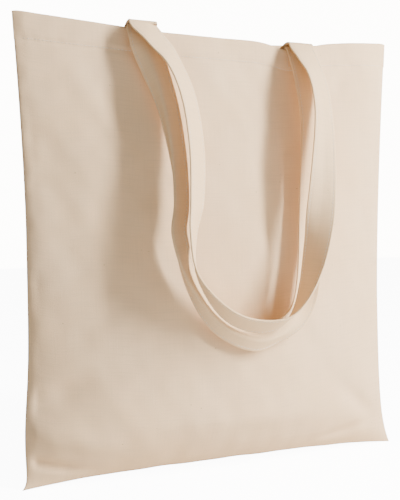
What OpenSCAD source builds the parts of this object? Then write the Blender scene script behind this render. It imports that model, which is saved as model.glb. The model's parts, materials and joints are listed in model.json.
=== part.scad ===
// Canvas tote bag with two long shoulder handles that hang over its front.
// Frame: origin in the middle of the base on the floor, +X to the right of the
// front panel, +Y to the rear, +Z up. Sizes in millimetres.

/* [Bag] */
// Width across the side seams at the hem
bag_w = 380; // [300:5:460]
// Height from the floor to the corners of the hem
bag_h = 420; // [340:5:510]
// How much each side draws in at half height
waist = 9; // [0:1:16]
// Depth of the filled-out belly, each side of the seams
belly = 43; // [36:1:50]
// Depth of the flat base, each side of the seams
base_half = 31; // [22:1:34]
// Height over which the base rounds up into the belly
heel = 40; // [25:1:60]
// Depth of the open mouth, each side of the seams
mouth = 20; // [14:1:30]
// How far the front hem dips between its corners
front_dip = 16; // [8:1:18]
// How far the rear hem dips between its corners
rear_dip = 8; // [2:1:8]

/* [Cloth] */
// Thickness of one layer of canvas
cloth_t = 0.8; // [0.5:0.1:1.2]
// Depth of the turned-in hem
hem_h = 25; // [15:1:35]
// Thickness of the turned-in part of the hem
hem_t = 1; // [0.6:0.1:1.6]
// Width of the seam allowance inside the bag
allowance_w = 10; // [6:1:14]
// Thickness of the two layers in an allowance
allowance_t = 2.2; // [1.2:0.1:2.6]
// Width of the overlock thread along an allowance
overlock_w = 1; // [0.6:0.1:1.6]
// Gap kept between layers of cloth
layer_gap = 0.2; // [0.1:0.05:0.4]

/* [Handles] */
// Width of the strap
strap_w = 26; // [20:1:32]
// Thickness of the folded strap
strap_t = 2; // [1.4:0.1:2.6]
// Distance of each handle end from the middle of the bag
strap_x = 78; // [60:1:95]
// Length of the end sewn inside the hem
tab_h = 28; // [20:1:40]
// How far the front handle hangs below its hem
front_drop = 279; // [200:1:320]
// How far the rear handle hangs below its front bend
rear_drop = 276; // [190:1:310]
// Gap between a hem and the underside of the handle that folds over it
fold_rise = 0.8; // [0.6:0.1:2]
// How far the rear handle's bend reaches past the front handle's fold
bend_reach = 12; // [9:1:18]
// Height of that bend above the front handle's fold
bend_rise = 8; // [5:1:12]
// Gap between a strap's sewn end and its fold line
fold_gap = 1.8; // [1.5:0.1:2.4]

/* [Thread] */
// Width of a row of stitches
thread_w = 0.8; // [0.5:0.1:1.2]
// How far a row of stitches stands proud
thread_t = 0.35; // [0.2:0.05:0.5]
// Distance of the stitches from the hem's lower edge and the strap's edges
thread_inset = 2.5; // [2:0.1:4]

/* [Hidden] */

canvas = "#ddcdbd";
lining = "#cdb9a4";
strap_cloth = "#e1d1c2";
thread = "#efe6d8";
front = -1;
rear = 1;
left = -1;
right = 1;

// The panels stand clear of the seam allowances by this much at the side seams
edge_y = cloth_t + allowance_t / 2 + layer_gap;
// Fullness of the panels across their width: 0.5 is an ellipse, 1 a parabola
fullness = 0.7;
// How early the belly thins out towards the mouth, and how close the dip of the
// cloth stays to the hem
thinning = 1.3;
dip_fade = 4;
columns = [for (k = [0:18]) -90 + 10 * k];
hem_columns = [for (k = [0:16]) -80 + 10 * k];
heel_rows = [for (a = [20:17.5:90]) heel * (1 - cos(a))];
wall_rows = [for (k = [1:7]) heel + (bag_h - hem_h - heel) * k / 7];

// Half the bag's width at height z
function half_width(z) = bag_w / 2 - waist * sin(180 * z / bag_h);

// Depth of the panel in the middle of the bag at height z
function mid_depth(z) = z < heel
    ? base_half + (belly - base_half) * sqrt(1 - pow(1 - z / heel, 2))
    : mouth + (belly - mouth) * pow(cos(90 * (z - heel) / (bag_h - heel)), thinning);

// Share of the middle's depth at t, from -1 at the left seam to 1 at the right
function lens(t) = pow(max(0, 1 - t * t), fullness);

function dip(side) = side == front ? front_dip : rear_dip;

// Height of the cloth that lay at z before the hem dipped
function dipped(t, z, side) = z - dip(side) * (1 - t * t) * pow(z / bag_h, dip_fade);

// Point of a panel's outer face: column angle a, height z
function wall_point(a, z, side) = let (t = sin(a))
    [t * half_width(z), side * (edge_y + mid_depth(z) * lens(t)), dipped(t, z, side)];

// Point of the flat base: q is 0 at the bottom seam and 1 at the base's edge
function base_point(a, q, side) = let (t = sin(a),
        edge = edge_y + mid_depth(0) * lens(t))
    [t * half_width(0), side * (layer_gap + (edge - layer_gap) * q), 0];

function wall_grid(rows, cols, side) = [for (z = rows) [for (a = cols) wall_point(a, z, side)]];

function panel_grid(side) = concat(
    [for (q = [0, 0.5]) [for (a = columns) base_point(a, q, side)]],
    wall_grid(concat([0], heel_rows, wall_rows, [bag_h]), columns, side));

function unit(v) = v / norm(v);

// Normal of a grid of points at row r and column c, into the bag
function inward(grid, r, c, side) = let (
        up = grid[min(r + 1, len(grid) - 1)][c] - grid[max(r - 1, 0)][c],
        along = grid[r][min(c + 1, len(grid[0]) - 1)] - grid[r][max(c - 1, 0)])
    side * unit(cross(up, along)) * -1;

// The same grid moved inwards by d
function moved_in(grid, d, side) = [for (r = [0:len(grid) - 1])
    [for (c = [0:len(grid[0]) - 1]) grid[r][c] + d * inward(grid, r, c, side)]];

// Closed solid between two grids with the same rows and columns
module between(outer, inner) {
    rows = len(outer);
    cols = len(outer[0]);
    points = concat([for (r = outer) each r], [for (r = inner) each r]);
    function at(r, c, k) = k * rows * cols + r * cols + c;
    function quad(a, b, c, d) = [[a, b, c], [a, c, d]];
    skins = [for (r = [0:rows - 2], c = [0:cols - 2], k = [0, 1]) each k == 0
        ? quad(at(r, c, 0), at(r + 1, c, 0), at(r + 1, c + 1, 0), at(r, c + 1, 0))
        : quad(at(r, c, 1), at(r, c + 1, 1), at(r + 1, c + 1, 1), at(r + 1, c, 1))];
    ends = [for (c = [0:cols - 2], e = [0, 1]) each e == 0
        ? quad(at(0, c, 0), at(0, c + 1, 0), at(0, c + 1, 1), at(0, c, 1))
        : quad(at(rows - 1, c, 1), at(rows - 1, c + 1, 1), at(rows - 1, c + 1, 0), at(rows - 1, c, 0))];
    sides = [for (r = [0:rows - 2], e = [0, 1]) each e == 0
        ? quad(at(r, 0, 1), at(r + 1, 0, 1), at(r + 1, 0, 0), at(r, 0, 0))
        : quad(at(r, cols - 1, 0), at(r + 1, cols - 1, 0), at(r + 1, cols - 1, 1), at(r, cols - 1, 1))];
    polyhedron(points, concat(skins, ends, sides), convexity = 8);
}

// Layer of cloth lying inside or outside a grid, from depth d0 to depth d1
module layer(grid, d0, d1, side) {
    near = moved_in(grid, d0, side);
    far = moved_in(grid, d1, side);
    if (side == front) between(near, far);
    else between(far, near);
}

module panel(side) color(canvas) layer(panel_grid(side), 0, cloth_t, side);

hem_face = cloth_t + layer_gap;
module hem(side) color(canvas)
    layer(wall_grid([bag_h - hem_h, bag_h], hem_columns, side), hem_face, hem_face + hem_t, side);

// Upright strip of the side seam between distances x0 and x1 in from the seam's edge,
// clear of the base below it and of the hem above it
seam_clear = 3;
seam_rows = [for (k = [0:10]) seam_clear + (bag_h - hem_h - 2 * seam_clear) * k / 10];
module side_strip(x_side, x0, x1, thick) {
    face = [for (y = [-thick / 2, thick / 2])
        [for (z = seam_rows) [x_side * (half_width(z) - x0), y, z]]];
    back = [for (y = [-thick / 2, thick / 2])
        [for (z = seam_rows) [x_side * (half_width(z) - x1), y, z]]];
    if (x_side == right) between(back, face);
    else between(face, back);
}
// Distance of the allowance from the bag's edge, and the overlock thread's thickness
seam_in = 1;
overlock_t = allowance_t + 0.6;
module side_seam(x_side) color(lining)
    side_strip(x_side, seam_in, seam_in + allowance_w, allowance_t);
module side_overlock(x_side) color(thread) side_strip(x_side,
    seam_in + allowance_w + layer_gap, seam_in + allowance_w + layer_gap + overlock_w, overlock_t);

// The bottom seam's allowance stands up inside the bag, between the side seams
bottom_w = bag_w - 2 * (seam_in + allowance_w + overlock_w + seam_clear);
bottom_z = cloth_t + layer_gap;
module bottom_seam() color(lining)
    translate([-bottom_w / 2, -allowance_t / 2, bottom_z]) cube([bottom_w, allowance_t, allowance_w]);
module bottom_overlock() color(thread)
    translate([-bottom_w / 2, -overlock_t / 2, bottom_z + allowance_w + layer_gap])
        cube([bottom_w, overlock_t, overlock_w]);

// Column angles from a0 to a1 in n steps
function stitch_columns(a0, a1, n) = [for (k = [0:n]) a0 + (a1 - a0) * k / n];
thread_gap = 0.1;
// Row of stitches on a panel's outer face, between heights z0 and z1
module stitch_row(side, z0, z1, cols) color(thread)
    layer(wall_grid([z0, z1], cols, side), -thread_gap - thread_t, -thread_gap, side);
hem_stitch_z = bag_h - hem_h + thread_inset;
module hem_stitch(side) stitch_row(side, hem_stitch_z, hem_stitch_z + thread_w, hem_columns);

// Box of stitches that holds a handle end to the hem
tack_steps = 3;
module tack(side, x_side) {
    inner_a = asin((strap_x - strap_w / 2 + thread_inset) / half_width(bag_h));
    outer_a = asin((strap_x + strap_w / 2 - thread_inset) / half_width(bag_h));
    width_a = asin(thread_w / half_width(bag_h));
    low = hem_stitch_z + 2 * thread_w;
    high = bag_h - thread_inset;
    cols = [for (a = stitch_columns(inner_a, outer_a, tack_steps)) a * x_side];
    ordered = x_side == right ? cols : [for (k = [tack_steps:-1:0]) cols[k]];
    for (z = [low, high - thread_w]) stitch_row(side, z, z + thread_w, ordered);
    for (a = [ordered[0], ordered[tack_steps] - width_a])
        stitch_row(side, low + thread_w, high - thread_w, [a, a + width_a]);
}

// Sewn ends and fold lines of the handles
strap_t_at = (strap_x + strap_w / 2) / half_width(bag_h);
hem_inner_y = edge_y + mouth * lens(strap_t_at) - hem_face - hem_t;
tab_y = hem_inner_y - 2 * layer_gap - strap_t / 2;
function hem_top(side) = dipped(strap_t_at, bag_h, side);
function fold_z(side) = hem_top(side) + fold_rise + strap_t / 2;
bend_y = -tab_y - bend_reach;
bend_z = fold_z(front) + bend_rise;

module tab(side, x_side) color(strap_cloth) {
    top = fold_z(side) - fold_gap;
    translate([x_side * strap_x - strap_w / 2, side * tab_y - strap_t / 2, hem_top(side) - tab_h])
        cube([strap_w, strap_t, top - hem_top(side) + tab_h]);
}

// The rear handle's ends cross the mouth from the rear fold to the bend in front
bridge_run = [bend_y - tab_y, bend_z - fold_z(rear)];
module bridge(x_side) color(strap_cloth)
    translate([x_side * strap_x, tab_y, fold_z(rear)])
        rotate([atan2(bridge_run[1], -bridge_run[0]) * -1, 0, 0])
            translate([-strap_w / 2, -norm(bridge_run) + fold_gap, -strap_t / 2])
                cube([strap_w, norm(bridge_run) - fold_gap, strap_t]);

// Routes of the two loops, from the left end to the right end. Each row holds the
// place across (shares of strap_x), the distance out to the front in millimetres,
// the share of the drop, and how far the strap's inner and outer halves lean
// forward of flat, in degrees
front_route = [
    [-1.00, 0, 0.00, 0, 0], [-1.00, 6, 0.00, 0, 0], [-1.01, 12, 0.04, 0, 0],
    [-0.93, 21, 0.13, 0, -45], [-0.83, 29, 0.27, 0, -80], [-0.77, 35, 0.43, 0, -100],
    [-0.77, 39, 0.57, 0, -115], [-0.81, 41, 0.67, 0, -115], [-0.64, 42, 0.81, -20, -90],
    [-0.28, 43, 0.94, -35, -45], [0.15, 43, 1.00, -35, -30], [0.49, 41, 0.99, -15, -50],
    [0.73, 38, 0.93, 20, -10], [0.87, 34, 0.82, 20, 30], [0.96, 29, 0.67, 10, 20],
    [1.03, 25, 0.50, 0, 10], [1.09, 21, 0.30, 0, 0], [1.04, 18, 0.14, 0, 0],
    [1.00, 12, 0.04, 0, 0], [1.00, 6, 0.00, 0, 0], [1.00, 0, 0.00, 0, 0]];
rear_route = [
    [-1.00, 0, 0.00, 0, 0], [-1.00, 3, 0.02, -4, 4], [-0.90, 9, 0.06, -20, 20],
    [-0.73, 17, 0.14, -40, 40],
    [-0.59, 28, 0.275, -42, 42], [-0.54, 36, 0.44, -42, 42], [-0.57, 41, 0.60, -46, 46],
    [-0.63, 43, 0.70, -60, 60], [-0.60, 45, 0.83, -76, 76], [-0.26, 45, 0.955, -105, 105],
    [0.15, 45, 1.00, -120, 120], [0.49, 46, 0.98, -112, 112], [0.72, 45, 0.885, -85, 85],
    [0.89, 42, 0.73, -50, 50], [0.99, 38, 0.565, -5, 15], [1.06, 33, 0.385, 20, -10],
    [1.09, 27, 0.26, 26, -22], [1.07, 18, 0.14, 22, -22], [1.03, 9, 0.06, 10, -10],
    [1.00, 3, 0.02, 0, 0],
    [1.00, 0, 0.00, 0, 0]];

// Smooth curve through rows a, b, c and d, between b and c
function spline(a, b, c, d, t) = 0.5 * (2 * b + (c - a) * t + (2 * a - 5 * b + 4 * c - d) * t * t
    + (3 * b - a - 3 * c + d) * t * t * t);
steps = 4;
function smooth(route) = let (last = len(route) - 1) concat([for (i = [0:last - 1], k = [0:steps - 1])
    spline(i == 0 ? 2 * route[0] - route[1] : route[i - 1], route[i], route[i + 1],
        i == last - 1 ? 2 * route[last] - route[last - 1] : route[i + 2], k / steps)],
    [route[last]]);

// Place in space of one row of a route
function placed(row, start_y, start_z, drop) =
    [row[0] * strap_x, start_y - row[1], start_z - row[2] * drop];

// Share of the drop over which a strap turns from lying on its fold to hanging
turn_share = 0.1;

// One station of a strap: centre, inner and outer directions, and their face normals
function stations(route, start_y, start_z, drop) = let (
        rows = smooth(route),
        last = len(rows) - 1,
        centres = [for (row = rows) placed(row, start_y, start_z, drop)])
    [for (i = [0:last]) let (
        along = i == 0 ? [0, centres[1][1] - centres[0][1], centres[1][2] - centres[0][2]]
            : i == last ? [0, centres[last][1] - centres[last - 1][1],
                centres[last][2] - centres[last - 1][2]]
            : centres[i + 1] - centres[i - 1],
        run = unit(along),
        facing = [0, -1, max(0, 1 - rows[i][2] / turn_share)],
        ahead = unit(facing - run * (facing * run)),
        side = cross(run, ahead),
        inner = -side * cos(rows[i][3]) + ahead * sin(rows[i][3]),
        outer = side * cos(rows[i][4]) + ahead * sin(rows[i][4]))
        [centres[i], inner, outer, cross(run, inner), cross(outer, run)]];

// Strap swept through its stations, with its middle crease; a mitre at the crease
// stops growing once the halves are folded as far as least_mitre
least_mitre = 0.6;
module strap(list) {
    h = strap_t / 2;
    reach = strap_w / 2;
    sewn = reach - thread_inset;
    rings = [for (s = list) let (mid = unit(s[3] + s[4]), m = h / max(least_mitre, mid * s[3]))
        [s[0] + reach * s[1] + h * s[3], s[0] + sewn * s[1] + h * s[3], s[0] + m * mid,
         s[0] + sewn * s[2] + h * s[4], s[0] + reach * s[2] + h * s[4],
         s[0] + reach * s[2] - h * s[4], s[0] + sewn * s[2] - h * s[4], s[0] - m * mid,
         s[0] + sewn * s[1] - h * s[3], s[0] + reach * s[1] - h * s[3]]];
    swept(rings);
}

// Closed solid through a list of flat rings, whose second half lies behind the first
module swept(rings) {
    n = len(rings[0]);
    last = len(rings) - 1;
    skin = [for (i = [0:last - 1], k = [0:n - 1]) let (j = (k + 1) % n)
        each [[i * n + k, i * n + j, (i + 1) * n + j], [i * n + k, (i + 1) * n + j, (i + 1) * n + k]]];
    start = [for (k = [0:n / 2 - 2]) each [[n - 1 - k, n - 2 - k, k + 1], [n - 1 - k, k + 1, k]]];
    end = [for (k = [0:n / 2 - 2]) let (e = last * n)
        each [[e + k, e + k + 1, e + n - 2 - k], [e + k, e + n - 2 - k, e + n - 1 - k]]];
    polyhedron([for (r = rings) each r], concat(start, skin, end), convexity = 8);
}

// Two rows of stitches on the strap's outward face, short of its ends
module strap_stitches(list) for (half = [1, 2]) {
    lift = strap_t / 2 + 2 * thread_gap;
    place = strap_w / 2 - thread_inset;
    part = [for (i = [2:len(list) - 3]) list[i]];
    rings = [for (s = part) let (base = s[0] + place * s[half] + lift * s[half + 2],
            across = thread_w / 2 * s[half], up = thread_t * s[half + 2])
        half == 1 ? [base + across + up, base - across + up, base - across, base + across]
            : [base - across + up, base + across + up, base + across, base - across]];
    swept(rings);
}

front_stations = stations(front_route, -tab_y, fold_z(front), front_drop);
rear_stations = stations(rear_route, bend_y, bend_z, rear_drop);

module front_panel() panel(front);
module rear_panel() panel(rear);
module front_hem() hem(front);
module rear_hem() hem(rear);
module left_side_seam() side_seam(left);
module right_side_seam() side_seam(right);
module left_side_overlock() side_overlock(left);
module right_side_overlock() side_overlock(right);
module front_hem_stitch() hem_stitch(front);
module rear_hem_stitch() hem_stitch(rear);
module front_handle_left_tab() tab(front, left);
module front_handle_right_tab() tab(front, right);
module rear_handle_left_tab() tab(rear, left);
module rear_handle_right_tab() tab(rear, right);
module front_left_tack() tack(front, left);
module front_right_tack() tack(front, right);
module rear_left_tack() tack(rear, left);
module rear_right_tack() tack(rear, right);
module front_handle() color(strap_cloth) strap(front_stations);
module front_handle_stitching() color(thread) strap_stitches(front_stations);
module rear_handle_left_bridge() bridge(left);
module rear_handle_right_bridge() bridge(right);
module rear_handle() color(strap_cloth) strap(rear_stations);
module rear_handle_stitching() color(thread) strap_stitches(rear_stations);

front_panel();
rear_panel();
front_hem();
rear_hem();
left_side_seam();
right_side_seam();
bottom_seam();
left_side_overlock();
right_side_overlock();
bottom_overlock();
front_hem_stitch();
rear_hem_stitch();
front_handle_left_tab();
front_handle_right_tab();
rear_handle_left_tab();
rear_handle_right_tab();
front_left_tack();
front_right_tack();
rear_left_tack();
rear_right_tack();
front_handle();
front_handle_stitching();
rear_handle_left_bridge();
rear_handle_right_bridge();
rear_handle();
rear_handle_stitching();
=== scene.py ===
"""Canvas tote bag with two long strap handles hanging over its front.

Row frame, metres: origin in the middle of the base on the floor, +X right, +Y rear, +Z up.
"""

import json
import math

import bpy
import numpy as np
from mathutils import Matrix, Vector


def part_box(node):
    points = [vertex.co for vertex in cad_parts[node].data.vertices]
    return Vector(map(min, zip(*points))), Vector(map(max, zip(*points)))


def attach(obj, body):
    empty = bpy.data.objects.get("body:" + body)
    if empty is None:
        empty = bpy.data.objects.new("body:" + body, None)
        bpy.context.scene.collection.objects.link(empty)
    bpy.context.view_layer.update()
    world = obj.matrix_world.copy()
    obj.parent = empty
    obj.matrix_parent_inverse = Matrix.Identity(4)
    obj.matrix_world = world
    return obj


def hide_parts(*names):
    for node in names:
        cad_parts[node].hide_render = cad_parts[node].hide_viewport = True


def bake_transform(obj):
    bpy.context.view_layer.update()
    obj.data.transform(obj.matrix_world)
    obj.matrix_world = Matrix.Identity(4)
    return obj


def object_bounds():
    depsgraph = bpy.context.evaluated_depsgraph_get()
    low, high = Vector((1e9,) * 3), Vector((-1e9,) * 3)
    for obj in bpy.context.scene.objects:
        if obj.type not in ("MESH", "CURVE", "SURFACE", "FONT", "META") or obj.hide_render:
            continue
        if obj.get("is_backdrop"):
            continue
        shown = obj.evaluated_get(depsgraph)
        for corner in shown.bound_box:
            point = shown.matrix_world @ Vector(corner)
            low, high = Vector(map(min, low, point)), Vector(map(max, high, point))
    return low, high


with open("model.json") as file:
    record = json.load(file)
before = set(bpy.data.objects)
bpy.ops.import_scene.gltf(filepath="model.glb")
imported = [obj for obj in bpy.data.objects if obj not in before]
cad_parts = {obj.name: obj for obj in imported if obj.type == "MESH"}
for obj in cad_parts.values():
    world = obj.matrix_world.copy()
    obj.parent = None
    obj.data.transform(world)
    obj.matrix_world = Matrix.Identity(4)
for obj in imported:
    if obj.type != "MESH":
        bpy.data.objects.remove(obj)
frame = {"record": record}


def save_sizes(key, sizes):
    sizes[key] = [[float(c) for c in corner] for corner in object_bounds()]
    return sizes


sizes = save_sizes("cad", {})

MM = 0.001

# ---------------------------------------------------------------- frame sizes
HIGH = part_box("front_panel")[1]
HALF_W = HIGH[0]
TOP = HIGH[2]
TAB_LOW, TAB_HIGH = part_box("front_handle_right_tab")
STRAP_W = TAB_HIGH[0] - TAB_LOW[0]
STRAP_X = (TAB_HIGH[0] + TAB_LOW[0]) / 2
STRAP_T = TAB_HIGH[1] - TAB_LOW[1]
JOINTS = {j["name"]: j for j in frame["record"]["behaviour"]["joints"]}
FRONT_PIN = np.array(JOINTS["front_handle_swing"]["pos_m"])
REAR_PIN = np.array(JOINTS["rear_handle_lift"]["pos_m"])
BEND_PIN = np.array(JOINTS["rear_handle_unfold"]["pos_m"])

BELLY = 42.5 * MM  # depth of the filled-out belly, each side of the seams
MOUTH = 20 * MM  # depth of the open mouth, each side of the seams
HEEL = 52 * MM  # height over which the bottom rounds up into the belly
HEM = 23 * MM  # distance of the hem's stitches from its fold
CLOTH = 0.8 * MM  # thickness of the canvas
EDGE_Y = 0.5 * MM  # distance of each panel from the middle at the seams
THINNING = 1.3  # how early the belly thins out towards the mouth
DIP_FADE = 4  # how close the dip of the cloth stays to the hem
SEAM_W, SEAM_T = 9 * MM, 1.5 * MM  # width and thickness of the seam allowances


# ---------------------------------------------------------------- camera
def add_camera():
    """A camera 650 mm from the bag, 215 mm up, turned 19 degrees to its left."""
    distance, height, shift = 0.6503, 0.2153, -0.0181
    turn, pitch, roll = (math.radians(a) for a in (19.23, 0.66, -1.10))
    sin, cos = math.sin, math.cos
    ahead = np.array([sin(turn) * cos(pitch), cos(turn) * cos(pitch), -sin(pitch)])
    right = np.array([cos(turn), -sin(turn), 0])
    up = np.cross(right, ahead)
    place = -distance * np.array([sin(turn), cos(turn), 0]) + shift * right + np.array([0, 0, height])
    right, up = right * cos(roll) + up * sin(roll), up * cos(roll) - right * sin(roll)
    data = bpy.data.cameras.new("camera")
    data.sensor_width = 36
    data.lens = 48.4
    data.clip_start = 0.01
    camera = bpy.data.objects.new("camera", data)
    bpy.context.collection.objects.link(camera)
    matrix = np.eye(4)
    matrix[:3, 0], matrix[:3, 1], matrix[:3, 2], matrix[:3, 3] = right, up, -ahead, place
    camera.matrix_world = Matrix(matrix.tolist())
    bpy.context.scene.camera = camera


add_camera()


# ---------------------------------------------------------------- meshes
def make_mesh(name, points, faces, material, uv=None):
    """A smooth-shaded mesh object; uv holds metres of cloth at each point."""
    mesh = bpy.data.meshes.new(name)
    mesh.from_pydata([tuple(p) for p in points], [], [tuple(f) for f in faces])
    if uv is not None:
        layer = mesh.uv_layers.new(name="cloth")
        index = np.empty(len(mesh.loops), np.int32)
        mesh.loops.foreach_get("vertex_index", index)
        layer.data.foreach_set("uv", np.asarray(uv, np.float32)[index].ravel())
    mesh.polygons.foreach_set("use_smooth", [True] * len(mesh.polygons))
    mesh.materials.append(material)
    mesh.update()
    obj = bpy.data.objects.new(name, mesh)
    bpy.context.collection.objects.link(obj)
    return obj


def grid_faces(rows, cols, closed=False, flip=False):
    """Quads of a grid whose columns may close into a tube."""
    r = np.arange(rows - 1)[:, None]
    c = np.arange(cols if closed else cols - 1)[None, :]
    d = (c + 1) % cols
    corners = r * cols + c, r * cols + d, (r + 1) * cols + d, (r + 1) * cols + c
    quads = np.stack(np.broadcast_arrays(*corners), -1).reshape(-1, 4)
    return quads[:, ::-1] if flip else quads


def ripple(u, v, seed, wave, count=5):
    """Sum of count sine waves of about that wavelength in random directions, from -1 to 1."""
    rng = np.random.default_rng(seed)
    total = np.zeros(np.broadcast(u, v).shape)
    for _ in range(count):
        angle, phase = rng.uniform(0, 2 * math.pi, 2)
        k = 2 * math.pi / (wave * rng.uniform(0.75, 1.35))
        total = total + np.sin(k * (u * math.cos(angle) + v * math.sin(angle)) + phase)
    return total / count


def dent(x, z, x0, z0, long, across, angle):
    """Bell of height 1 centred at x0, z0, stretched along a line at that angle in degrees."""
    c, s = math.cos(math.radians(angle)), math.sin(math.radians(angle))
    a = ((x - x0) * c + (z - z0) * s) / long
    b = (-(x - x0) * s + (z - z0) * c) / across
    return np.exp(-(a * a + b * b))


# ---------------------------------------------------------------- materials
class Nodes:
    """Short names for making one material's nodes."""

    def __init__(self, name):
        self.material = bpy.data.materials.new(name)
        self.material.use_nodes = True
        self.tree = self.material.node_tree
        self.tree.nodes.clear()

    def add(self, kind, settings=None, **inputs):
        node = self.tree.nodes.new(kind)
        for key, value in (settings or {}).items():
            setattr(node, key, value)
        for key, value in inputs.items():
            name = key.replace("_", " ")
            socket = node.inputs[int(key[1:])] if key[0] == "i" and key[1:].isdigit() else node.inputs[name]
            if isinstance(value, bpy.types.NodeSocket):
                self.tree.links.new(value, socket)
            else:
                socket.default_value = value
        return node

    def math(self, op, a, b=0.0, c=0.0):
        return self.add("ShaderNodeMath", {"operation": op}, i0=a, i1=b, i2=c).outputs[0]

    def mix(self, amount, a, b, how="MIX"):
        node = self.tree.nodes.new("ShaderNodeMix")
        node.data_type, node.blend_type = "RGBA", how
        for socket, value in ((node.inputs[0], amount), (node.inputs[6], a), (node.inputs[7], b)):
            if isinstance(value, bpy.types.NodeSocket):
                self.tree.links.new(value, socket)
            else:
                socket.default_value = value
        return node.outputs[2]

    def ramp(self, value, low, high):
        node = self.add("ShaderNodeMapRange", None, Value=value)
        node.inputs["From Min"].default_value = low
        node.inputs["From Max"].default_value = high
        return node.outputs[0]


def linear(r, g, b):
    """An sRGB colour in 0 to 255 as linear RGBA."""
    return [((c / 255 + 0.055) / 1.055) ** 2.4 if c > 10 else c / 3295 for c in (r, g, b)] + [1.0]


def canvas_material(name, colour, pitch, bump, seed):
    """Plain-weave cotton: crossing threads with painted shade in the hollows between them, uneven yarn, fine
    slubs, seed flecks and soft staining.
    """
    n = Nodes(name)
    uv = n.add("ShaderNodeUVMap", {"uv_map": "cloth"}).outputs[0]
    part = n.add("ShaderNodeSeparateXYZ", None, Vector=uv)
    u, v = part.outputs[0], part.outputs[1]
    wobble = n.add("ShaderNodeTexNoise", None, Vector=uv, Scale=90.0, Detail=2.0).outputs[0]
    shift = n.math("MULTIPLY", wobble, 1.6)
    su = n.math("SINE", n.math("ADD", n.math("MULTIPLY", u, math.pi / pitch), shift))
    sv = n.math("SINE", n.math("ADD", n.math("MULTIPLY", v, math.pi / pitch), shift))
    over = n.math("MULTIPLY", su, sv)
    knots = n.math("ABSOLUTE", over)

    def yarn(x_scale, y_scale, w):
        stretched = n.add("ShaderNodeMapping", None, Vector=uv)
        stretched.inputs["Scale"].default_value = (x_scale, y_scale, 1)
        stretched.inputs["Location"].default_value = (w, seed, 0)
        noise = n.add("ShaderNodeTexNoise", None, Vector=stretched.outputs[0], Scale=1.0, Detail=3.0)
        return noise.outputs[0]

    weft, warp = yarn(26, 1100, 3.1), yarn(1100, 26, 7.7)
    cloudy = n.add("ShaderNodeTexNoise", None, Vector=uv, Scale=11.0, Detail=4.0, Roughness=0.6).outputs[0]
    fuzz = n.add("ShaderNodeTexNoise", None, Vector=uv, Scale=2400.0, Detail=2.0).outputs[0]
    fleck = n.add("ShaderNodeTexVoronoi", None, Vector=uv, Scale=95.0).outputs["Distance"]
    chance = n.add("ShaderNodeTexNoise", None, Vector=uv, Scale=31.0, Detail=1.0).outputs[0]
    flecks = n.math("MULTIPLY", n.math("LESS_THAN", fleck, 0.055), n.math("GREATER_THAN", chance, 0.56))

    dark = [c * 0.86 for c in colour[:3]] + [1.0]
    warm = [colour[0] * 0.99, colour[1] * 0.955, colour[2] * 0.89, 1.0]
    tone = n.mix(n.ramp(cloudy, 0.38, 0.72), colour, warm)
    tone = n.mix(n.math("MULTIPLY", n.ramp(weft, 0.46, 0.72), 0.55), tone, dark)
    tone = n.mix(n.math("MULTIPLY", n.ramp(warp, 0.46, 0.72), 0.40), tone, dark)
    # Painted shade: the hollows between the crossing threads, where the bump is lowest, are darkened towards
    # 0.6 of the colour
    weave_gap_shade = n.math("MULTIPLY", n.math("SUBTRACT", 1.0, knots), 0.16)
    tone = n.mix(weave_gap_shade, tone, [c * 0.6 for c in colour[:3]] + [1.0])
    tone = n.mix(n.math("MULTIPLY", flecks, 0.45), tone, linear(120, 92, 62))
    yarns = n.math("MULTIPLY", n.math("ADD", weft, warp), 0.75)
    height = n.math("ADD", n.math("MULTIPLY", knots, 0.6), yarns)
    height = n.math("ADD", height, n.math("MULTIPLY", fuzz, 0.25))
    bumped = n.add("ShaderNodeBump", None, Height=height, Strength=bump, Distance=0.0002).outputs[0]
    rough = n.math("ADD", 0.84, n.math("MULTIPLY", fuzz, 0.1))
    shader = n.add("ShaderNodeBsdfPrincipled", None, Base_Color=tone, Roughness=rough, Normal=bumped)
    shader.inputs["Specular IOR Level"].default_value = 0.1
    n.add("ShaderNodeOutputMaterial", None, Surface=shader.outputs[0])
    return n.material


def thread_material():
    """Twisted sewing thread, seen as fine slanting ridges."""
    n = Nodes("thread")
    place = n.add("ShaderNodeTexCoord").outputs["Object"]
    part = n.add("ShaderNodeSeparateXYZ", None, Vector=place)
    twist = 9000.0
    slant = [n.math("MULTIPLY", part.outputs[k], twist) for k in (0, 2)]
    ridges = n.math("SINE", n.math("ADD", *slant))
    shade = n.add("ShaderNodeTexNoise", None, Vector=place, Scale=60.0).outputs[0]
    tone = n.mix(n.ramp(shade, 0.35, 0.65), linear(232, 221, 205), linear(214, 200, 182))
    bumped = n.add("ShaderNodeBump", None, Height=ridges, Strength=0.3, Distance=0.0001).outputs[0]
    shader = n.add("ShaderNodeBsdfPrincipled", None, Base_Color=tone, Roughness=0.62, Normal=bumped)
    n.add("ShaderNodeOutputMaterial", None, Surface=shader.outputs[0])
    return n.material


CANVAS = canvas_material("canvas", linear(235, 203, 163), 0.62 * MM, 0.5, 1.0)
STRAP = canvas_material("strap_canvas", linear(235, 203, 161), 0.62 * MM, 0.5, 5.0)
THREAD = thread_material()


# ---------------------------------------------------------------- bag body
def half_width(z, right):
    """Half the bag's width at height z: each side seam draws in and flares at the bottom corner."""
    z = np.maximum(z, 0) / MM
    if right:
        return (177.3 + 12 * np.exp(-z / 28) + 14 * np.clip((z - 150) / 270, 0, 1) ** 1.5) * MM
    swell = 4.8 * np.exp(-(((z - 40) / 55) ** 2)) + 8 * np.clip((z - 230) / 190, 0, 1) ** 1.5
    return (180.8 + 5 * np.exp(-z / 5) + swell) * MM


def across(t, z):
    """X of the cloth at t, from -1 at the left seam to 1 at the right, at height z."""
    return np.where(t < 0, t * half_width(z, False), t * half_width(z, True))


def lens(t):
    """Share of the middle's depth at t."""
    return np.clip(1 - t * t, 0, 1) ** 0.7


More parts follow.
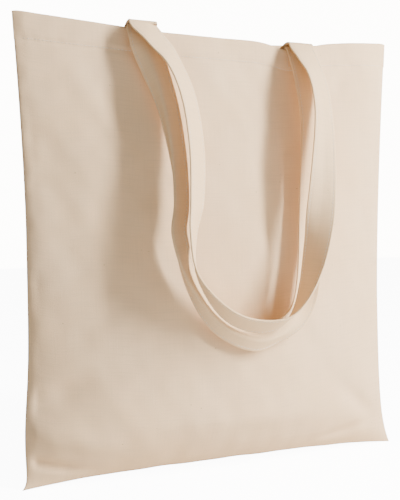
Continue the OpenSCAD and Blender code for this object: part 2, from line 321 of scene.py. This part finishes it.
def hem_dip(t, side):
    """How far the hem lies below its corners; the right handle pulls the front hem down."""
    x = t * HALF_W
    if side < 0:
        return 14.5 * MM * (1 - t * t) + 8 * MM * np.exp(-(((x - 0.073) / 0.026) ** 2))
    return 8 * MM * (1 - t * t) + 1.5 * MM * ripple(x, 0 * x, 12, 0.11, 3) * (1 - t * t)


def bottom_seam_z(t):
    """The bottom seam bows up between the corners, which touch the floor."""
    uneven = 0.4 * MM * ripple(t * HALF_W, 0 * t, 31, 0.05, 3)
    return 5.6 * MM * np.clip(1 - t ** 4, 0, 1) + uneven * (1 - t * t)


def wrinkles(x, z, t, side):
    """How far the cloth stands out from its smooth shape."""
    seam = (1 - np.abs(t)) * HALF_W
    out = 1.9 * MM * ripple(x, z, 40 + side, 0.15, 4) + 0.95 * MM * ripple(x, z, 50 + side, 0.062, 6)
    out = out + 0.36 * MM * ripple(x, z, 60 + side, 0.026, 7)
    pucker = ripple(0 * x, z, 70 + side, 0.017, 4) + 0.6 * ripple(x, z, 71 + side, 0.03, 4)
    out = out + 0.9 * MM * pucker * np.exp(-seam / 0.013) * np.clip(seam / 0.004, 0, 1)
    low = ripple(x, 0 * z, 80 + side, 0.028, 5) + 0.5 * ripple(x, z, 81 + side, 0.05, 4)
    out = out + 1.1 * MM * low * np.exp(-z / 0.030) * np.clip(z / 0.012, 0, 1)
    # Soft folds: the middle's x and z, length and width, angle in degrees, height in millimetres
    folds = [(-0.152, 0.085, 0.034, 0.013, 24, -5.0), (-0.160, 0.021, 0.030, 0.0048, -14, -6.0),
             (-0.142, 0.042, 0.046, 0.013, -14, 3.6), (-0.120, 0.120, 0.060, 0.020, 38, 1.2),
             (0.140, 0.052, 0.034, 0.009, -38, -3.4), (0.120, 0.022, 0.036, 0.006, 10, -3.2),
             (0.150, 0.080, 0.040, 0.014, -48, 1.4), (0.148, 0.200, 0.060, 0.010, 82, -1.0),
             (-0.152, 0.250, 0.070, 0.012, 96, -1.1), (0.120, 0.360, 0.040, 0.010, 58, -1.3),
             (-0.110, 0.350, 0.050, 0.012, 118, -1.4), (-0.030, 0.060, 0.080, 0.018, 4, 1.2),
             (0.030, 0.038, 0.070, 0.010, -3, -1.2), (0.068, 0.372, 0.030, 0.012, 90, -1.8)]
    for x0, z0, long, wide, angle, height in folds:
        mirrored = x0 if side < 0 else -x0 * 0.93
        lean = angle if side < 0 else 180 - angle
        out = out + height * MM * dent(x, z, mirrored, z0, long, wide, lean)
    return out * np.clip(seam / 0.010, 0, 1) ** 0.7


def panel_points(side, cols=191):
    """One panel from the bottom seam up, over its hem's fold and down inside to the hem's edge.

    phi runs 0 to 90 degrees round the heel, where depth = sin phi and height = 0.42 sin phi +
    0.58 (1 - cos phi); above it the depth falls from the belly to the mouth as a power of a cosine.
    """
    t = np.sin(np.linspace(-90, 90, cols) * math.pi / 180 * 0.999)
    t = 0.5 * t + 0.5 * np.linspace(-1, 1, cols)
    heel_rows, wall_rows = 26, 140
    phi = np.linspace(0, 90, heel_rows) * math.pi / 180
    heights = np.concatenate([
        HEEL * (0.42 * np.sin(phi) + 0.58 * (1 - np.cos(phi))),
        HEEL + (TOP - HEEL) * np.linspace(0, 1, wall_rows + 1)[1:]])
    depths = np.concatenate([np.sin(phi), np.ones(wall_rows)])
    seam = bottom_seam_z(t)
    inside = np.clip((1 - t * t) * 12, 0, 1)
    outer = []
    for h, d in zip(heights, depths):
        z0 = seam + h * (1 - seam / TOP)
        above = np.clip((z0 - HEEL) / (TOP - HEEL), 0, 1)
        full = MOUTH + (BELLY - MOUTH) * np.cos(above * math.pi / 2) ** THINNING
        x = across(t, z0)
        z = z0 - hem_dip(t, side) * (z0 / TOP) ** DIP_FADE
        stand = wrinkles(x, z, t, side) * np.clip(h / 0.016, 0, 1)
        stitch = HEM - (TOP - z0)
        groove = -0.55 * MM * np.exp(-((stitch / (1.1 * MM)) ** 2))
        puffs = 0.22 * MM * ripple(x, z, 90 + side, 0.008, 4) * np.exp(-((stitch / (5 * MM)) ** 2))
        band = 0.45 * MM / (1 + np.exp(-(stitch - 1.5 * MM) / (0.7 * MM)))
        wave = 1.6 * MM * ripple(x, 0 * x, 95 + side, 0.09, 4) * np.clip(above - 0.6, 0, 1) * 2.5
        y = EDGE_Y + full * lens(t) * d + (stand + groove + puffs + band + wave) * inside
        outer.append(np.stack([x, side * y, z], -1))
    outer = np.array(outer)
    top = outer[-1]
    radius = np.minimum(1.35 * MM, (np.abs(top[:, 1]) - 0.25 * MM) / 2)
    fold = []
    for a in np.linspace(15, 165, 9) * math.pi / 180:
        ring = top.copy()
        ring[:, 1] = side * (np.abs(top[:, 1]) - radius * (1 - np.cos(a)))
        ring[:, 2] = top[:, 2] + radius * (np.sin(a) - 0.2)
        fold.append(ring)
    inner = []
    for k in np.linspace(0.01, 1, 14):
        row = top.copy()
        level = TOP - HEM * k * 1.04
        i = np.clip(np.interp(level, heights, np.arange(len(heights))), 0, len(heights) - 1)
        lo = int(i)
        near = outer[lo] * (1 - (i - lo)) + outer[min(lo + 1, len(outer) - 1)] * (i - lo)
        row[:, 0] = near[:, 0]
        row[:, 1] = side * np.maximum(np.abs(near[:, 1]) - 2 * radius * (1 - 0.25 * k), 0.2 * MM)
        row[:, 2] = near[:, 2]
        inner.append(row)
    points = np.concatenate([outer, np.array(fold), np.array(inner)])
    step = np.linalg.norm(np.diff(points, axis=0), axis=-1)
    v = np.concatenate([np.zeros((1, cols)), np.cumsum(step, 0)])
    along = np.linalg.norm(np.diff(points, axis=1), axis=-1)
    u = np.concatenate([np.zeros((len(points), 1)), np.cumsum(along, 1)], 1)
    u = u - u[:, cols // 2][:, None]
    return heights, outer, points, np.stack([u, v], -1)


def thicken(obj, thickness):
    """Give a sheet its thickness, inwards from the modelled face."""
    solid = obj.modifiers.new("thickness", "SOLIDIFY")
    solid.thickness = thickness
    solid.offset = -1
    solid.use_rim = True


def add_panel(side, name, nodes):
    """One panel with its hem; returns its rows' heights, its outer face and its flat size too."""
    heights, outer, points, uv = panel_points(side)
    faces = grid_faces(*points.shape[:2], flip=side > 0)
    obj = make_mesh(name, points.reshape(-1, 3), faces, CANVAS, uv.reshape(-1, 2))
    thicken(obj, CLOTH)
    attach(obj, "bag")
    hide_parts(*nodes)
    wide = float(np.mean(uv[..., 0].max(1) - uv[..., 0].min(1)))
    long = float(np.mean(uv[-1, :, 1]))
    return obj, heights, outer, (wide, long)


front_bag, HEIGHTS, FRONT_OUTER, FRONT_FLAT = add_panel(-1, "bag_front", ["front_panel", "front_hem"])
rear_bag, _, REAR_OUTER, REAR_FLAT = add_panel(1, "bag_rear", ["rear_panel", "rear_hem"])


def add_seam(name, line, inwards, node, ripple_seed):
    """A seam allowance: a thin wavy double layer along a line, standing inwards of it."""
    n, run = len(line), 0.4
    wave = 1.1 * MM * ripple(np.linspace(0, run, n), np.zeros(n), ripple_seed, 0.07, 4)
    rings = []
    for face, shares in ((-1, (0.0, 0.5, 1.0)), (1, (1.0, 0.5, 0.0))):
        for d in shares:
            mid = line + inwards * (SEAM_W * d) + np.array([0, 1, 0]) * (wave * d)[:, None] * 0.5
            rings.append(mid + np.array([0, face * SEAM_T / 2, 0]))
    cols = len(rings)
    rings = np.stack(rings, 1)
    uv = np.stack([np.broadcast_to(np.arange(cols) * SEAM_W / 2, (n, cols)),
                   np.broadcast_to(np.linspace(0, run, n)[:, None], (n, cols))], -1)
    faces = grid_faces(n, cols, closed=True)
    obj = make_mesh(name, rings.reshape(-1, 3), faces, CANVAS, uv.reshape(-1, 2))
    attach(obj, "bag")
    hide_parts(node)
    return line + inwards * SEAM_W + np.array([0, 1, 0]) * wave[:, None] * 0.5


def add_overlock(name, edge, inwards, node, pitch=2.6 * MM):
    """Overlock thread: a thin tube that zigzags over the allowance's free edge."""
    step = np.linalg.norm(np.diff(edge, axis=0), axis=-1)
    s = np.concatenate([[0], np.cumsum(step)])
    sides = 5
    count = int(s[-1] / pitch) * 4
    at = np.linspace(0, s[-1], count)
    path = np.stack([np.interp(at, s, edge[:, k]) for k in range(3)], -1)
    turn = np.arange(count) * math.pi / 2
    sway = np.outer(np.sin(turn), [0, 1, 0]) * 0.95 * MM
    bite = np.outer(np.cos(turn) * 0.9 * MM - 0.9 * MM, inwards)
    rings = tube(path + sway + bite, 0.28 * MM, sides)
    faces = grid_faces(count, sides, closed=True)
    obj = make_mesh(name, rings.reshape(-1, 3), faces, THREAD)
    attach(obj, "bag")
    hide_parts(node)


def tube(path, radius, sides):
    """Rings of a round tube along a path."""
    along = np.gradient(path, axis=0)
    along /= np.linalg.norm(along, axis=1)[:, None]
    a = np.cross(along, [0.31, 0.2, 0.93])
    a /= np.linalg.norm(a, axis=1)[:, None]
    b = np.cross(along, a)
    angle = np.arange(sides) * 2 * math.pi / sides
    cos, sin = np.cos(angle)[None, :, None], np.sin(angle)[None, :, None]
    return path[:, None] + radius * (cos * a[:, None] + sin * b[:, None])


def side_line(right):
    """Line of a side seam, 4 mm in from the bag's edge, below the hem."""
    z = np.linspace(0.020, TOP - HEM - 0.004, 160)
    x = half_width(z, right) - 4 * MM
    return np.stack([x if right else -x, 0 * z, z], -1)


bottom_x = np.linspace(-0.165, 0.165, 120)
bottom_z = bottom_seam_z(bottom_x / HALF_W) + 2.2 * MM
bottom_line = np.stack([bottom_x, 0 * bottom_x, bottom_z], -1)
SEAMS = (("left", "left_side", side_line(False), [1.0, 0, 0], 3),
         ("right", "right_side", side_line(True), [-1.0, 0, 0], 4),
         ("bottom", "bottom", bottom_line, [0, 0, 1.0], 5))
free_edges = [add_seam(f"{word}_allowance", line, np.array(inwards), f"{node}_seam", seed)
              for word, node, line, inwards, seed in SEAMS]
for (word, node, _, inwards, _), free_edge in zip(SEAMS, free_edges):
    add_overlock(f"{word}_overlocking", free_edge, inwards, f"{node}_overlock")


# ---------------------------------------------------------------- stitches
# Places along a stitch as shares of its length, and its width and rise there
STITCH_SHAPE = ((0, 0.35, -0.5), (0.18, 0.9, 0.7), (0.5, 1, 1), (0.82, 0.9, 0.7), (1, 0.35, -0.5))


def stitches(name, path, normal, body, node, length=2.6 * MM, gap=0.7 * MM):
    """Separate sewn stitches along paths, each a small domed bar lying on the cloth."""
    width, lift, sink = 0.55 * MM, 0.28 * MM, 0.1 * MM
    points, faces = [], []
    for line, up in zip(path, normal):
        step = np.linalg.norm(np.diff(line, axis=0), axis=-1)
        s = np.concatenate([[0], np.cumsum(step)])
        for start in np.arange(gap, s[-1] - length, length + gap):
            ends = [start + share * length for share, _, _ in STITCH_SHAPE]
            centre = np.stack([np.interp(ends, s, line[:, k]) for k in range(3)], -1)
            rise = np.stack([np.interp(ends, s, up[:, k]) for k in range(3)], -1)
            rise /= np.linalg.norm(rise, axis=1)[:, None]
            run = centre[-1] - centre[0]
            run = run / np.linalg.norm(run)
            r = rise[2]
            first = len(points)
            for c, (_, w, d), side in zip(centre, STITCH_SHAPE, np.cross(run, rise)):
                edge, shoulder = side * w * width / 2, side * w * width * 0.25
                points += [c - edge - r * sink, c - shoulder + r * d * lift,
                           c + shoulder + r * d * lift, c + edge - r * sink]
            for k in range(4):
                a = first + 4 * k
                faces += [(a + j, a + j + 1, a + j + 5, a + j + 4) for j in range(3)]
                faces.append((a + 3, a, a + 4, a + 7))
            faces += [(first + 3, first + 2, first + 1, first),
                      (first + 16, first + 17, first + 18, first + 19)]
    obj = make_mesh(name, points, faces, THREAD)
    if body:
        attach(obj, body)
    if node:
        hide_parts(node)
    return obj


def on_panel(outer, x, down, side, lift=0.05 * MM):
    """Points on a panel's outer face at x, down below its hem, and their normals."""
    x, down = np.broadcast_arrays(np.asarray(x, float), np.asarray(down, float))
    row = np.interp(TOP - down, HEIGHTS, np.arange(len(HEIGHTS)))
    found = []
    for xi, ri in zip(x, row):
        lo = int(min(ri, len(outer) - 2))
        f = ri - lo
        line = outer[lo] * (1 - f) + outer[lo + 1] * f
        y, z = np.interp(xi, line[:, 0], line[:, 1]), np.interp(xi, line[:, 0], line[:, 2])
        found.append([xi, y + side * lift, z])
    found = np.array(found)
    return found, np.broadcast_to([0, float(side), 0.05], found.shape).copy()


for side, outer, word in ((-1, FRONT_OUTER, "front"), (1, REAR_OUTER, "rear")):
    x = np.linspace(-0.181, 0.185, 260)
    line, up = on_panel(outer, x, HEM, side)
    stitches(f"{word}_hem_stitches", [line], [up], "bag", f"{word}_hem_stitch")
    for sign, hand in ((-1, "left"), (1, "right")):
        a, b = sign * STRAP_X - STRAP_W / 2 + 3 * MM, sign * STRAP_X + STRAP_W / 2 - 3 * MM
        runs = [(np.linspace(a, b, 12), np.full(12, 5 * MM)), (np.full(12, b), np.linspace(5, 20, 12) * MM),
                (np.linspace(b, a, 12), np.full(12, 20 * MM)), (np.full(12, a), np.linspace(20, 5, 12) * MM)]
        lines = [on_panel(outer, *run, side) for run in runs]
        stitches(f"{word}_{hand}_tacking", [l[0] for l in lines], [l[1] for l in lines], "bag",
                 f"{word}_{hand}_tack", gap=0.5 * MM, length=2.2 * MM)


# ---------------------------------------------------------------- handles
def smooth_route(rows, steps=14):
    """Catmull-Rom curve through the rows."""
    rows = np.array(rows, float)
    ends = np.concatenate([[2 * rows[0] - rows[1]], rows, [2 * rows[-1] - rows[-2]]])
    found = []
    for i in range(1, len(ends) - 2):
        a, b, c, d = ends[i - 1:i + 3]
        for k in range(steps):
            t = k / steps
            found.append(0.5 * (2 * b + (c - a) * t + (2 * a - 5 * b + 4 * c - d) * t * t
                                + (3 * b - a - 3 * c + d) * t ** 3))
    return np.array(found + [rows[-1]])


def strap_frames(rows, start, drop):
    """Centres, and the inner and outer halves' directions and normals, of a creased strap.

    A row is the place across in shares of the handle's spacing, the distance out to the front in
    mm, the share of the drop, and how far the inner and outer halves lean forward, in degrees.
    """
    r = smooth_route(rows)
    centre = np.stack([r[:, 0] * STRAP_X, start[1] - r[:, 1] * MM, start[2] - r[:, 2] * drop], -1)
    run = np.gradient(centre, axis=0)
    run[0, 0] = run[-1, 0] = 0
    run /= np.linalg.norm(run, axis=1)[:, None]
    facing = np.stack([0 * r[:, 0], -np.ones(len(r)), np.clip(1 - r[:, 2] / 0.1, 0, 1)], -1)
    ahead = facing - run * np.sum(facing * run, 1)[:, None]
    ahead /= np.linalg.norm(ahead, axis=1)[:, None]
    side = np.cross(run, ahead)
    li, lo = np.radians(r[:, 3])[:, None], np.radians(r[:, 4])[:, None]
    inner = -side * np.cos(li) + ahead * np.sin(li)
    outer = side * np.cos(lo) + ahead * np.sin(lo)
    return centre, run, inner, outer, np.cross(run, inner), np.cross(outer, run)


# Place of a row of stitches, from 0 at the strap's middle to 1 at its edge
STITCH_PLACE = 0.80
# How softly the strap's middle crease is rounded
CREASE_SOFT, CREASE_DROP, CREASE_TURN = 0.02, 0.0707, 0.14


def strap_surface(frames, a, lift):
    """Points of the strap at a, from -1 at its inner edge to 1 at its outer, lift above its middle."""
    centre, run, inner, outer, n_in, n_out = frames
    a, lift = (np.broadcast_to(value, len(centre))[:, None] for value in (a, lift))
    plus = 0.5 * (a + np.sqrt(a * a + CREASE_SOFT)) - CREASE_DROP * np.exp(-a * a * 6)
    minus = plus - a
    share = 0.5 + 0.5 * np.tanh(a / CREASE_TURN)
    normal = n_in * (1 - share) + n_out * share
    normal = normal / np.linalg.norm(normal, axis=1)[:, None]
    return centre + STRAP_W / 2 * (plus * outer + minus * inner) + lift * normal, normal


def add_strap(name, frames, seed):
    """A folded and sewn canvas strap: soft round edges, sunk stitch rows and a little wave."""
    centre = frames[0]
    n = len(centre)
    s = np.concatenate([[0], np.cumsum(np.linalg.norm(np.diff(centre, axis=0), axis=-1))])
    flat = np.linspace(-0.96, 0.96, 23)

    def thick(a):
        sunk = 0.22 * MM * np.exp(-((np.abs(a) - STITCH_PLACE) / 0.06) ** 2)
        puff = 0.07 * MM * ripple(s, 0 * s + a * 0.013, seed, 0.010, 5)
        return STRAP_T / 2 - 0.15 * MM - sunk + puff

    def at(a, lift):
        wavy = a * (1 + 0.016 * ripple(s, 0 * s, seed + (1 if a > 0 else 2), 0.045, 4))
        return strap_surface(frames, wavy, lift)[0]

    rounded = thick(flat[-1]) * 0.6
    rings = [at(a, thick(a)) for a in flat]
    rings += [at(0.99, rounded), at(1.0, 0), at(0.99, -rounded)]
    rings += [at(a, -thick(a)) for a in flat[::-1]]
    rings += [at(-0.99, -rounded), at(-1.0, 0), at(-0.99, rounded)]
    rings = np.stack(rings, 1)
    cols = rings.shape[1]
    round_it = np.linalg.norm(np.diff(rings[n // 2], axis=0), axis=-1)
    width = np.concatenate([[0], np.cumsum(round_it)])
    uv = np.stack([np.broadcast_to(width, (n, cols)), np.broadcast_to(s[:, None], (n, cols))], -1)
    faces = [tuple(f) for f in grid_faces(n, cols, closed=True, flip=True)]
    faces += [tuple(range(cols)), tuple(range((n - 1) * cols, n * cols))[::-1]]
    obj = make_mesh(name, rings.reshape(-1, 3), faces, STRAP, uv.reshape(-1, 2))
    return obj, float(s[-1])


def strap_rows(frames):
    """Paths and normals of the four rows of stitches on a strap, two on each face."""
    lift = STRAP_T / 2 - 0.32 * MM
    paths, normals = [], []
    for a in (-STITCH_PLACE, STITCH_PLACE):
        for face in (1, -1):
            path, normal = strap_surface(frames, a, face * lift)
            paths.append(path)
            normals.append(normal * face)
    return paths, normals


def cut(frames, keep):
    """Only the kept stations of a strap."""
    return [f[keep] for f in frames]


FRONT_ROUTE = [
    [-1.00, 0, 0.00, 0, 0], [-1.00, 6, 0.00, 0, 0], [-1.01, 12, 0.04, 0, 0],
    [-0.93, 21, 0.13, 0, -45], [-0.83, 29, 0.27, 0, -80], [-0.77, 35, 0.43, 0, -100],
    [-0.77, 39, 0.57, 0, -115], [-0.81, 41, 0.67, 0, -115], [-0.64, 42, 0.81, -20, -90],
    [-0.28, 43, 0.94, -35, -45], [0.15, 43, 1.00, -35, -30], [0.49, 41, 0.99, -15, -50],
    [0.73, 38, 0.93, 20, -10], [0.87, 34, 0.82, 20, 30], [0.96, 29, 0.67, 10, 20],
    [1.03, 25, 0.50, 0, 10], [1.09, 21, 0.30, 0, 0], [1.04, 18, 0.14, 0, 0],
    [1.00, 12, 0.04, 0, 0], [1.00, 6, 0.00, 0, 0], [1.00, 0, 0.00, 0, 0]]
REAR_ROUTE = [
    [-1.00, 0, 0.00, 0, 0], [-1.00, 3, 0.02, -4, 4], [-0.90, 9, 0.06, -20, 20],
    [-0.73, 17, 0.14, -40, 40],
    [-0.59, 28, 0.275, -42, 42], [-0.54, 36, 0.44, -42, 42], [-0.57, 41, 0.60, -46, 46],
    [-0.63, 43, 0.70, -60, 60], [-0.60, 45, 0.83, -76, 76], [-0.26, 45, 0.955, -105, 105],
    [0.15, 45, 1.00, -120, 120], [0.49, 46, 0.98, -112, 112], [0.72, 45, 0.885, -85, 85],
    [0.89, 42, 0.73, -50, 50], [0.99, 38, 0.565, -5, 15], [1.06, 33, 0.385, 20, -10],
    [1.09, 27, 0.26, 26, -22], [1.07, 18, 0.14, 22, -22], [1.03, 9, 0.06, 10, -10],
    [1.00, 3, 0.02, 0, 0], [1.00, 0, 0.00, 0, 0]]
FRONT_DROP = FRONT_PIN[2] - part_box("front_handle")[0][2] - STRAP_W * 0.36
REAR_DROP = BEND_PIN[2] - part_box("rear_handle")[0][2] - STRAP_W * 0.26


def lead_frames(x, points, steps=10):
    """Frames of a strap's flat end that follows (y, z) points in a plane of constant x."""
    yz = smooth_route(points, steps)
    centre = np.stack([np.full(len(yz), x), yz[:, 0], yz[:, 1]], -1)
    run = np.gradient(centre, axis=0)
    run /= np.linalg.norm(run, axis=1)[:, None]
    return centre, run


def strap_with_ends(rows, start, drop, ends):
    """Frames of a whole handle: its loop with both sewn ends, which run through ends = (y, z) points."""
    loop = strap_frames(rows, start, drop)
    parts = []
    for sign in (-1, 1):
        centre, run = lead_frames(sign * STRAP_X, ends)
        inner = np.broadcast_to([-float(sign), 0, 0], centre.shape)
        if sign > 0:
            centre, run = centre[::-1], -run[::-1]
        parts.append([centre, run, inner, -inner, np.cross(run, inner), np.cross(-inner, run)])
    skip = 6  # stations of the loop that give way to each end
    return [np.concatenate([parts[0][k][:-1], loop[k][skip:-skip], parts[1][k][1:]]) for k in range(6)]


def relax(frames, passes=3):
    """Frames with their joins smoothed along the strap."""
    out = [f.copy() for f in frames]
    for _ in range(passes):
        for k in (0, 2, 3):
            mid = out[k].copy()
            mid[1:-1] = 0.25 * out[k][:-2] + 0.5 * out[k][1:-1] + 0.25 * out[k][2:]
            out[k] = mid
    run = np.gradient(out[0], axis=0)
    out[1] = run / np.linalg.norm(run, axis=1)[:, None]
    for k in (2, 3):
        out[k] = out[k] - out[1] * np.sum(out[k] * out[1], 1)[:, None]
        out[k] /= np.linalg.norm(out[k], axis=1)[:, None]
    out[4], out[5] = np.cross(out[1], out[2]), np.cross(out[3], out[1])
    return out


def settle(frames, extra):
    """The strap's upper part lowered with the front hem under it, and by extra more."""
    fade_from, fade_over, pinned_dip = 0.350, 0.055, 11.9 * MM
    out = [f.copy() for f in frames]
    z = out[0][:, 2]
    w = np.clip((z - fade_from) / fade_over, 0, 1)
    dip = hem_dip(out[0][:, 0] / HALF_W, -1) - pinned_dip + extra
    out[0][:, 2] = z - w * w * (3 - 2 * w) * dip
    return out


# The front handle rises inside the front hem, folds over it and hangs down
fy, fz = FRONT_PIN[1], FRONT_PIN[2]
front_ends = [(fy + 0.6 * MM, fz - 28 * MM), (fy + 0.6 * MM, fz - 12 * MM), (fy + 0.3 * MM, fz - 4 * MM),
              (fy - 1.6 * MM, fz - 0.4 * MM), (fy - 5 * MM, fz + 0.3 * MM)]
front_frames = relax(settle(strap_with_ends(FRONT_ROUTE, FRONT_PIN, FRONT_DROP, front_ends), 0))
front_strap, FRONT_LENGTH = add_strap("front_strap", front_frames, 200)
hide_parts("front_handle", "front_handle_left_tab", "front_handle_right_tab")
front_paths, front_normals = strap_rows(front_frames)
front_sewing = stitches("front_strap_stitches", front_paths, front_normals, None, "front_handle_stitching")
for piece in (front_strap, front_sewing):
    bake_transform(piece)

# The rear handle rises inside the rear hem, crosses the mouth and hangs in front
ry, rz = REAR_PIN[1], REAR_PIN[2]
by, bz = BEND_PIN[1], BEND_PIN[2]
rear_ends = [(ry - 0.6 * MM, rz - 28 * MM), (ry - 0.6 * MM, rz - 12 * MM), (ry - 0.3 * MM, rz - 4 * MM),
             (ry - 1.6 * MM, rz - 0.4 * MM), (ry - 6 * MM, rz + 0.2 * MM), (ry - 20 * MM, (rz * 2 + bz) / 3),
             (by + 10 * MM, bz + 0.6 * MM), (by + 4 * MM, bz + 0.4 * MM), (by, bz - 0.6 * MM)]
rear_frames = relax(settle(strap_with_ends(REAR_ROUTE, BEND_PIN, REAR_DROP, rear_ends), 4.2 * MM), 8)
n = len(rear_frames[0])
# The loop is its own piece from 6 mm in front of the bag's middle
in_front = rear_frames[0][:, 1] < -6 * MM
first = int(np.argmax(in_front))
last = n - 1 - int(np.argmax(in_front[::-1]))
loop_frames = cut(rear_frames, slice(first, last + 1))
rear_strap, REAR_LENGTH = add_strap("rear_strap", loop_frames, 210)
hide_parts("rear_handle")
paths, normals = strap_rows(loop_frames)
rear_sewing = stitches("rear_strap_stitches", paths, normals, None, "rear_handle_stitching")
for piece in (rear_strap, rear_sewing):
    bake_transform(piece)
for hand, keep in (("left", slice(0, first + 1)), ("right", slice(last, n))):
    end_frames = cut(rear_frames, keep)
    end, end_length = add_strap(f"rear_strap_{hand}_end", end_frames, 220 if hand == "left" else 230)
    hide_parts(f"rear_handle_{hand}_bridge", f"rear_handle_{hand}_tab")
    paths, normals = strap_rows(end_frames)
    sewing = stitches(f"rear_strap_{hand}_end_stitches", paths, normals, None, None)
    for piece in (end, sewing):
        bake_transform(piece)


# ---------------------------------------------------------------- floor and light
def add_stage():
    """A plain pale floor."""
    n = Nodes("floor")
    glow = 11.0  # keeps the floor plain white to the camera only
    shader = n.add("ShaderNodeBsdfPrincipled", None, Base_Color=(0.93, 0.93, 0.93, 1), Roughness=0.9)
    seen = n.add("ShaderNodeLightPath").outputs["Is Camera Ray"]
    n.tree.links.new(n.math("MULTIPLY", seen, glow), shader.inputs["Emission Strength"])
    shader.inputs["Emission Color"].default_value = (1, 1, 1, 1)
    n.add("ShaderNodeOutputMaterial", None, Surface=shader.outputs[0])
    size = 6
    mesh = bpy.data.meshes.new("floor")
    corners = [(-size, -size, 0), (size, -size, 0), (size, size, 0), (-size, size, 0)]
    mesh.from_pydata(corners, [], [(0, 1, 2, 3)])
    mesh.materials.append(n.material)
    floor = bpy.data.objects.new("floor", mesh)
    bpy.context.collection.objects.link(floor)
    floor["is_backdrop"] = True


def add_light(name, direction, distance, size, power, colour):
    """A lamp of that (width, height) that far out along a direction, aimed at the middle of the bag."""
    d = np.array(direction, float)
    d /= np.linalg.norm(d)
    data = bpy.data.lights.new(name, "AREA")
    data.shape = "RECTANGLE"
    data.size, data.size_y, data.energy, data.color = *size, power, colour
    lamp = bpy.data.objects.new(name, data)
    bpy.context.collection.objects.link(lamp)
    side = np.cross([0, 0, 1], d)
    side /= np.linalg.norm(side)
    matrix = np.eye(4)
    matrix[:3, 0], matrix[:3, 1], matrix[:3, 2] = side, np.cross(d, side), d
    matrix[:3, 3] = np.array([0, 0, 0.2]) + d * distance
    lamp.matrix_world = Matrix(matrix.tolist())


add_stage()
add_light("key", (0.70, -0.66, 0.44), 1.6, (0.18, 1.2), 90, (1.0, 0.98, 0.95))
add_light("fill", (-0.3, -1, 0.4), 2.6, (2.0, 2.0), 1.5, (1.0, 0.96, 0.92))
# A dim warm studio that the camera itself sees as plain white
world = bpy.data.worlds.new("studio")
world.use_nodes = True
background = world.node_tree.nodes["Background"]
seen = world.node_tree.nodes.new("ShaderNodeLightPath").outputs["Is Camera Ray"]
strength = world.node_tree.nodes.new("ShaderNodeMapRange")
strength.inputs["To Min"].default_value = 0.25
strength.inputs["To Max"].default_value = 14.0
world.node_tree.links.new(seen, strength.inputs["Value"])
world.node_tree.links.new(strength.outputs[0], background.inputs["Strength"])
background.inputs["Color"].default_value = (1.0, 0.95, 0.89, 1)
bpy.context.scene.world = world

save_sizes("visual", sizes)
